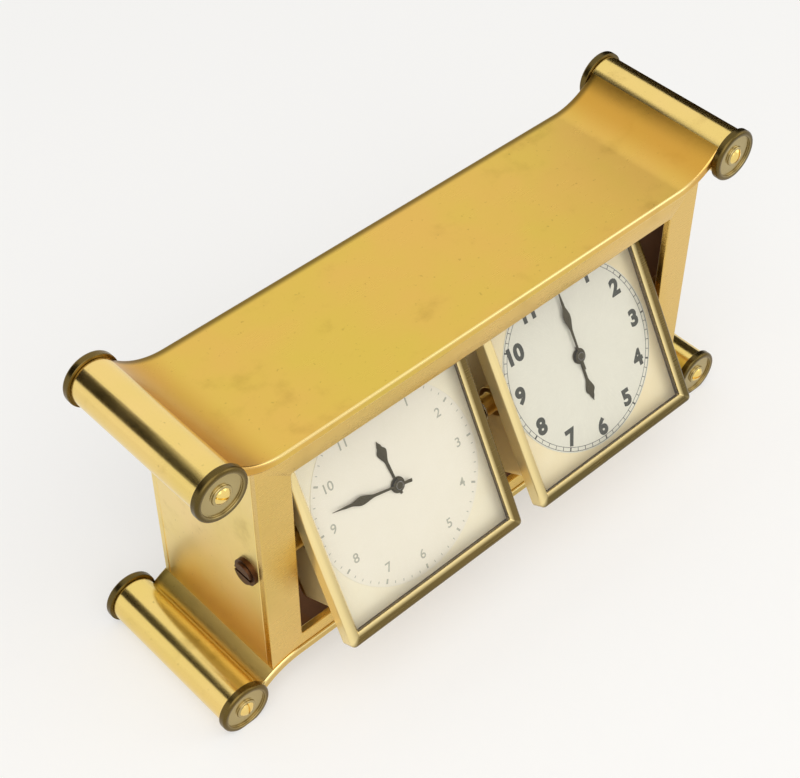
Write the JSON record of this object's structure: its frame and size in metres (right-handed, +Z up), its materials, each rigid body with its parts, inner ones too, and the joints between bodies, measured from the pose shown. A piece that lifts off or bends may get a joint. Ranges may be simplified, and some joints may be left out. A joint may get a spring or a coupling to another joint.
{
  "type": "travel clock",
  "caption": "Gilt brass travel clock: a long open case with scrolled roll ends holds square glazed dial units side by side, each tilting on a level axis.",
  "frame": {"origin": "centre of the bounding box in plan, on the surface that the clock stands on, with the dial units tilted as stored", "axes": "+X along the case to the clock's right-hand dial as a viewer sees it, +Y to the back, +Z up; the dials face -Y"},
  "size_m": [0.1736, 0.061, 0.0887],
  "materials": {
    "case_brass": "satin gilt, lightly brushed",
    "frame_brass": "pale gilt, polished",
    "dark_bronze": "dark bronzed",
    "steel": "fine ground",
    "movement_brass": "fine brushed",
    "dial_silver": "silvered chapter on cream gilt",
    "crystal_glass": "clear"
  },
  "bodies": {
    "case": {"top_plate": "case_brass", "bottom_plate": "case_brass", "left_end_panel": "case_brass", "right_end_panel": "case_brass", "front_frame": "frame_brass", "rear_frame": "case_brass", "centre_bracket": "dark_bronze", "corner_blocks": "case_brass", "case_screws": "steel", "top_left_roll": "case_brass", "top_right_roll": "case_brass", "bottom_left_roll": "case_brass", "bottom_right_roll": "case_brass", "front_roll_caps": "frame_brass", "rear_roll_caps": "frame_brass", "roll_cap_screws": "frame_brass", "left_pivot_screw": "dark_bronze", "right_pivot_screw": "dark_bronze", "centre_pivot_pin": "steel", "pivot_spacers": "movement_brass", "tension_washers": "steel"},
    "left_unit": {"left_bezel": "frame_brass", "left_crystal": "crystal_glass", "left_dial": "dial_silver", "left_housing": "movement_brass", "left_pivot_bushes": "movement_brass", "left_back_cover": "movement_brass", "left_cover_screws": "steel", "left_movement_plates": "movement_brass", "left_balance_cock": "steel"},
    "left_minute": {"left_minute_hand": "dark_bronze", "left_centre_arbor": "steel", "left_centre_wheel": "movement_brass", "left_setting_knob": "movement_brass"},
    "left_hour": {"left_hour_hand": "dark_bronze"},
    "left_winder": {"left_mainspring_barrel": "movement_brass", "left_winding_key": "movement_brass"},
    "left_balance": {"left_balance_wheel": "movement_brass"},
    "right_unit": {"right_bezel": "frame_brass", "right_crystal": "crystal_glass", "right_dial": "dial_silver", "right_housing": "movement_brass", "right_pivot_bushes": "movement_brass", "right_back_cover": "movement_brass", "right_cover_screws": "steel", "right_movement_plates": "movement_brass", "right_balance_cock": "steel"},
    "right_minute": {"right_minute_hand": "dark_bronze", "right_centre_arbor": "steel", "right_centre_wheel": "movement_brass", "right_setting_knob": "movement_brass"},
    "right_hour": {"right_hour_hand": "dark_bronze"},
    "right_winder": {"right_mainspring_barrel": "movement_brass", "right_winding_key": "movement_brass"},
    "right_balance": {"right_balance_wheel": "movement_brass"}
  },
  "joints": [
    {"name": "left_tilt", "type": "hinge", "parent": "case", "child": "left_unit", "pos_m": [-0.0305, -0.00821, 0.0417], "axis": [-1, 0, 0], "range_deg": [-27, 18]},
    {"name": "left_minute_turn", "type": "hinge", "parent": "left_unit", "child": "left_minute", "pos_m": [-0.0305, -0.00821, 0.0417], "axis": [0, 0.891, -0.454], "continuous": true},
    {"name": "left_hour_turn", "type": "hinge", "parent": "left_unit", "child": "left_hour", "pos_m": [-0.0305, -0.00821, 0.0417], "axis": [0, 0.891, -0.454], "continuous": true},
    {"name": "left_winding", "type": "hinge", "parent": "left_unit", "child": "left_winder", "pos_m": [-0.0395, -0.01229, 0.03368], "axis": [0, 0.891, -0.454], "continuous": true},
    {"name": "left_balance_swing", "type": "hinge", "parent": "left_unit", "child": "left_balance", "pos_m": [-0.02, -0.00344, 0.05106], "axis": [0, 0.891, -0.454], "range_deg": [-135, 135], "stiffness_Nm_per_rad": 0.00001},
    {"name": "right_tilt", "type": "hinge", "parent": "case", "child": "right_unit", "pos_m": [0.0305, -0.00821, 0.0417], "axis": [-1, 0, 0], "range_deg": [-30, 15]},
    {"name": "right_minute_turn", "type": "hinge", "parent": "right_unit", "child": "right_minute", "pos_m": [0.0305, -0.00821, 0.0417], "axis": [0, 0.866, -0.5], "continuous": true},
    {"name": "right_hour_turn", "type": "hinge", "parent": "right_unit", "child": "right_hour", "pos_m": [0.0305, -0.00821, 0.0417], "axis": [0, 0.866, -0.5], "continuous": true},
    {"name": "right_winding", "type": "hinge", "parent": "right_unit", "child": "right_winder", "pos_m": [0.0395, -0.01271, 0.03391], "axis": [0, 0.866, -0.5], "continuous": true},
    {"name": "right_balance_swing", "type": "hinge", "parent": "right_unit", "child": "right_balance", "pos_m": [0.02, -0.00296, 0.05079], "axis": [0, 0.866, -0.5], "range_deg": [-135, 135], "stiffness_Nm_per_rad": 0.00001}
  ],
  "couplings": [
    {"joint": "left_hour_turn", "follows": "left_minute_turn", "ratio": 0.083333},
    {"joint": "right_hour_turn", "follows": "right_minute_turn", "ratio": 0.083333}
  ]
}
